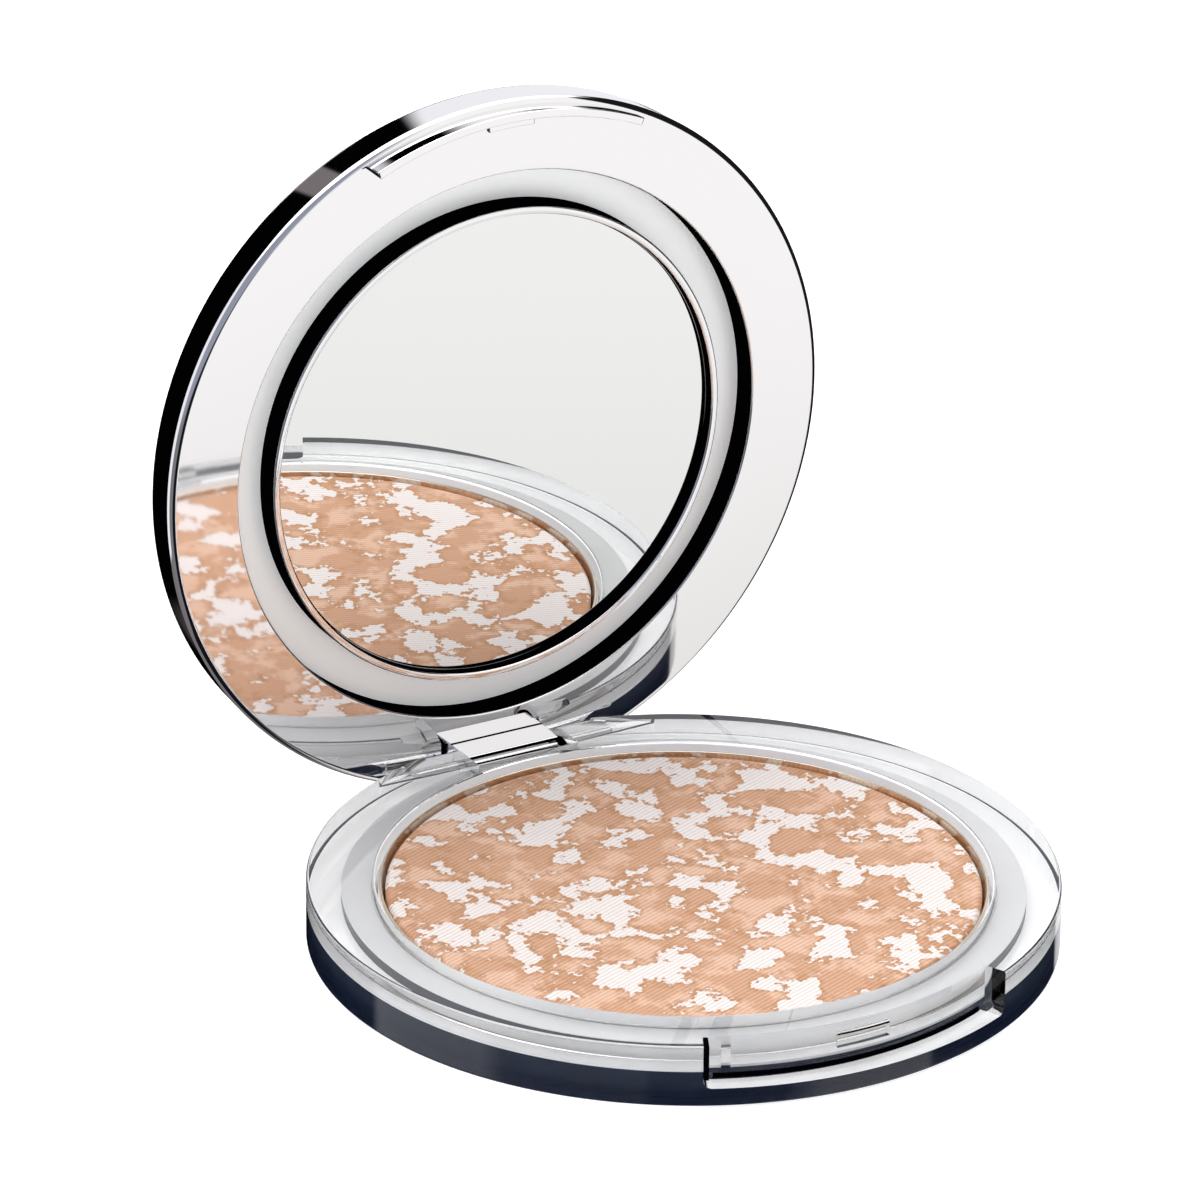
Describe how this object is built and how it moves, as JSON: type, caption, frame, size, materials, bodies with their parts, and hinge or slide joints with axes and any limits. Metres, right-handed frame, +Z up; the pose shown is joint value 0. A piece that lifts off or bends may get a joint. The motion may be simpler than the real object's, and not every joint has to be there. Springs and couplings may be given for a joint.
{
  "type": "powder compact",
  "caption": "Round pocket compact with a clear base, a pan of marbled pressed powder and a hinged bright lid with a mirror.",
  "frame": {"origin": "middle of the flat underside of the base", "axes": "+Z up out of the powder, thumb notch towards -Y, hinge at +Y with its pin along X"},
  "size_m": [0.073, 0.0788, 0.0734],
  "materials": {
    "clear_acrylic": "clear polished acrylic, faintly smoky",
    "navy_plastic": "dark navy, polished",
    "silver_lacquer": "pale silver lacquer",
    "glue_film": "dried glue film",
    "tinplate": "pressed tinplate",
    "pressed_powder": "matt pressed powder, marbled tan and white, with a fine twill emboss",
    "pin_steel": "drawn steel",
    "bright_chrome": "moulded plastic, metallised to a bright mirror finish",
    "satin_chrome": "moulded plastic, metallised with a satin floor",
    "mirror_glass": "silvered glass"
  },
  "bodies": {
    "base": {"base_ring": "clear_acrylic", "base_plate": "navy_plastic", "pan_tray": "silver_lacquer", "pan_adhesive": "glue_film", "pan": "tinplate", "powder": "pressed_powder", "hinge_pin": "pin_steel"},
    "lid": {"lid_shell": "bright_chrome", "mirror_frame": "satin_chrome", "mirror": "mirror_glass", "mirror_adhesive": "glue_film"}
  },
  "joints": [
    {"name": "lid_hinge", "type": "hinge", "parent": "base", "child": "lid", "pos_m": [0, 0.03386, 0.0032], "axis": [1, 0, 0], "range_deg": [0, 90]}
  ]
}
